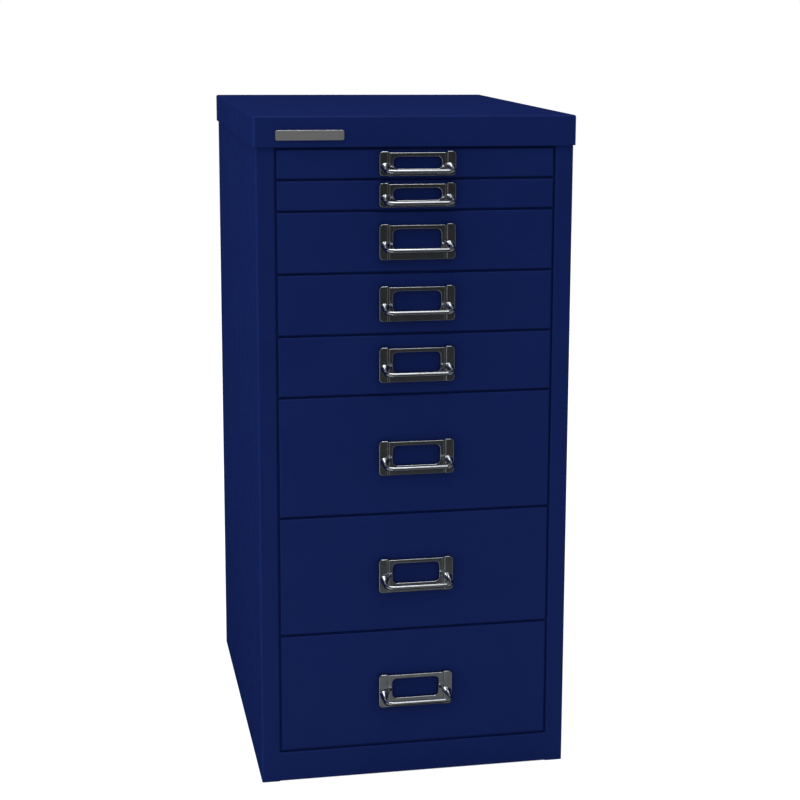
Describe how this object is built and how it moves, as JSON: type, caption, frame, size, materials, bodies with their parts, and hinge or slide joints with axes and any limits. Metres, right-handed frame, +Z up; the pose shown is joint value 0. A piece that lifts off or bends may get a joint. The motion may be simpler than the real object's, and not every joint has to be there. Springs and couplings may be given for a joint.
{
  "type": "multi-drawer cabinet",
  "caption": "Narrow desk-high steel cabinet of stacked shallow and deep drawers, folded sheet case under a separate cap, cast bar-pull handles that frame label cards.",
  "frame": {"origin": "middle of the cabinet's footprint on the floor, the pulls of the handles counted in its depth", "axes": "+Z up, +X to the right seen from the front, the drawers open towards -Y"},
  "size_m": [0.279, 0.4012, 0.59],
  "materials": {
    "case_paint": "deep navy blue baked paint, semi-gloss, very fine orange peel",
    "chrome": "bright chrome plating on a zinc casting",
    "zinc_steel": "bright zinc plated steel",
    "nylon": "natural off-white nylon"
  },
  "bodies": {
    "cabinet": {"top_cap": "case_paint", "left_side_panel": "case_paint", "right_side_panel": "case_paint", "back_panel": "case_paint", "base_pan": "case_paint", "plinth_rail": "case_paint", "header_rail": "case_paint", "left_front_post": "zinc_steel", "left_rear_post": "zinc_steel", "right_front_post": "zinc_steel", "right_rear_post": "zinc_steel", "runners_1": "zinc_steel", "runners_2": "zinc_steel", "runners_3": "zinc_steel", "runners_4": "zinc_steel", "runners_5": "zinc_steel", "runners_6": "zinc_steel", "runners_7": "zinc_steel", "runners_8": "zinc_steel"},
    "drawer_1": {"drawer_front_1": "case_paint", "drawer_tray_1": "case_paint", "slide_pads_1": "nylon", "drawer_handle_1": "chrome", "handle_screws_1": "zinc_steel"},
    "drawer_2": {"drawer_front_2": "case_paint", "drawer_tray_2": "case_paint", "slide_pads_2": "nylon", "drawer_handle_2": "chrome", "handle_screws_2": "zinc_steel"},
    "drawer_3": {"drawer_front_3": "case_paint", "drawer_tray_3": "case_paint", "slide_pads_3": "nylon", "drawer_handle_3": "chrome", "handle_screws_3": "zinc_steel"},
    "drawer_4": {"drawer_front_4": "case_paint", "drawer_tray_4": "case_paint", "slide_pads_4": "nylon", "drawer_handle_4": "chrome", "handle_screws_4": "zinc_steel"},
    "drawer_5": {"drawer_front_5": "case_paint", "drawer_tray_5": "case_paint", "slide_pads_5": "nylon", "drawer_handle_5": "chrome", "handle_screws_5": "zinc_steel"},
    "drawer_6": {"drawer_front_6": "case_paint", "drawer_tray_6": "case_paint", "slide_pads_6": "nylon", "drawer_handle_6": "chrome", "handle_screws_6": "zinc_steel"},
    "drawer_7": {"drawer_front_7": "case_paint", "drawer_tray_7": "case_paint", "slide_pads_7": "nylon", "drawer_handle_7": "chrome", "handle_screws_7": "zinc_steel"},
    "drawer_8": {"drawer_front_8": "case_paint", "drawer_tray_8": "case_paint", "slide_pads_8": "nylon", "drawer_handle_8": "chrome", "handle_screws_8": "zinc_steel"}
  },
  "joints": [
    {"name": "drawer_1_slide", "type": "slide", "parent": "cabinet", "child": "drawer_1", "axis": [0, -1, 0], "range_m": [0, 0.29]},
    {"name": "drawer_2_slide", "type": "slide", "parent": "cabinet", "child": "drawer_2", "axis": [0, -1, 0], "range_m": [0, 0.29]},
    {"name": "drawer_3_slide", "type": "slide", "parent": "cabinet", "child": "drawer_3", "axis": [0, -1, 0], "range_m": [0, 0.29]},
    {"name": "drawer_4_slide", "type": "slide", "parent": "cabinet", "child": "drawer_4", "axis": [0, -1, 0], "range_m": [0, 0.29]},
    {"name": "drawer_5_slide", "type": "slide", "parent": "cabinet", "child": "drawer_5", "axis": [0, -1, 0], "range_m": [0, 0.29]},
    {"name": "drawer_6_slide", "type": "slide", "parent": "cabinet", "child": "drawer_6", "axis": [0, -1, 0], "range_m": [0, 0.29]},
    {"name": "drawer_7_slide", "type": "slide", "parent": "cabinet", "child": "drawer_7", "axis": [0, -1, 0], "range_m": [0, 0.29]},
    {"name": "drawer_8_slide", "type": "slide", "parent": "cabinet", "child": "drawer_8", "axis": [0, -1, 0], "range_m": [0, 0.29]}
  ]
}
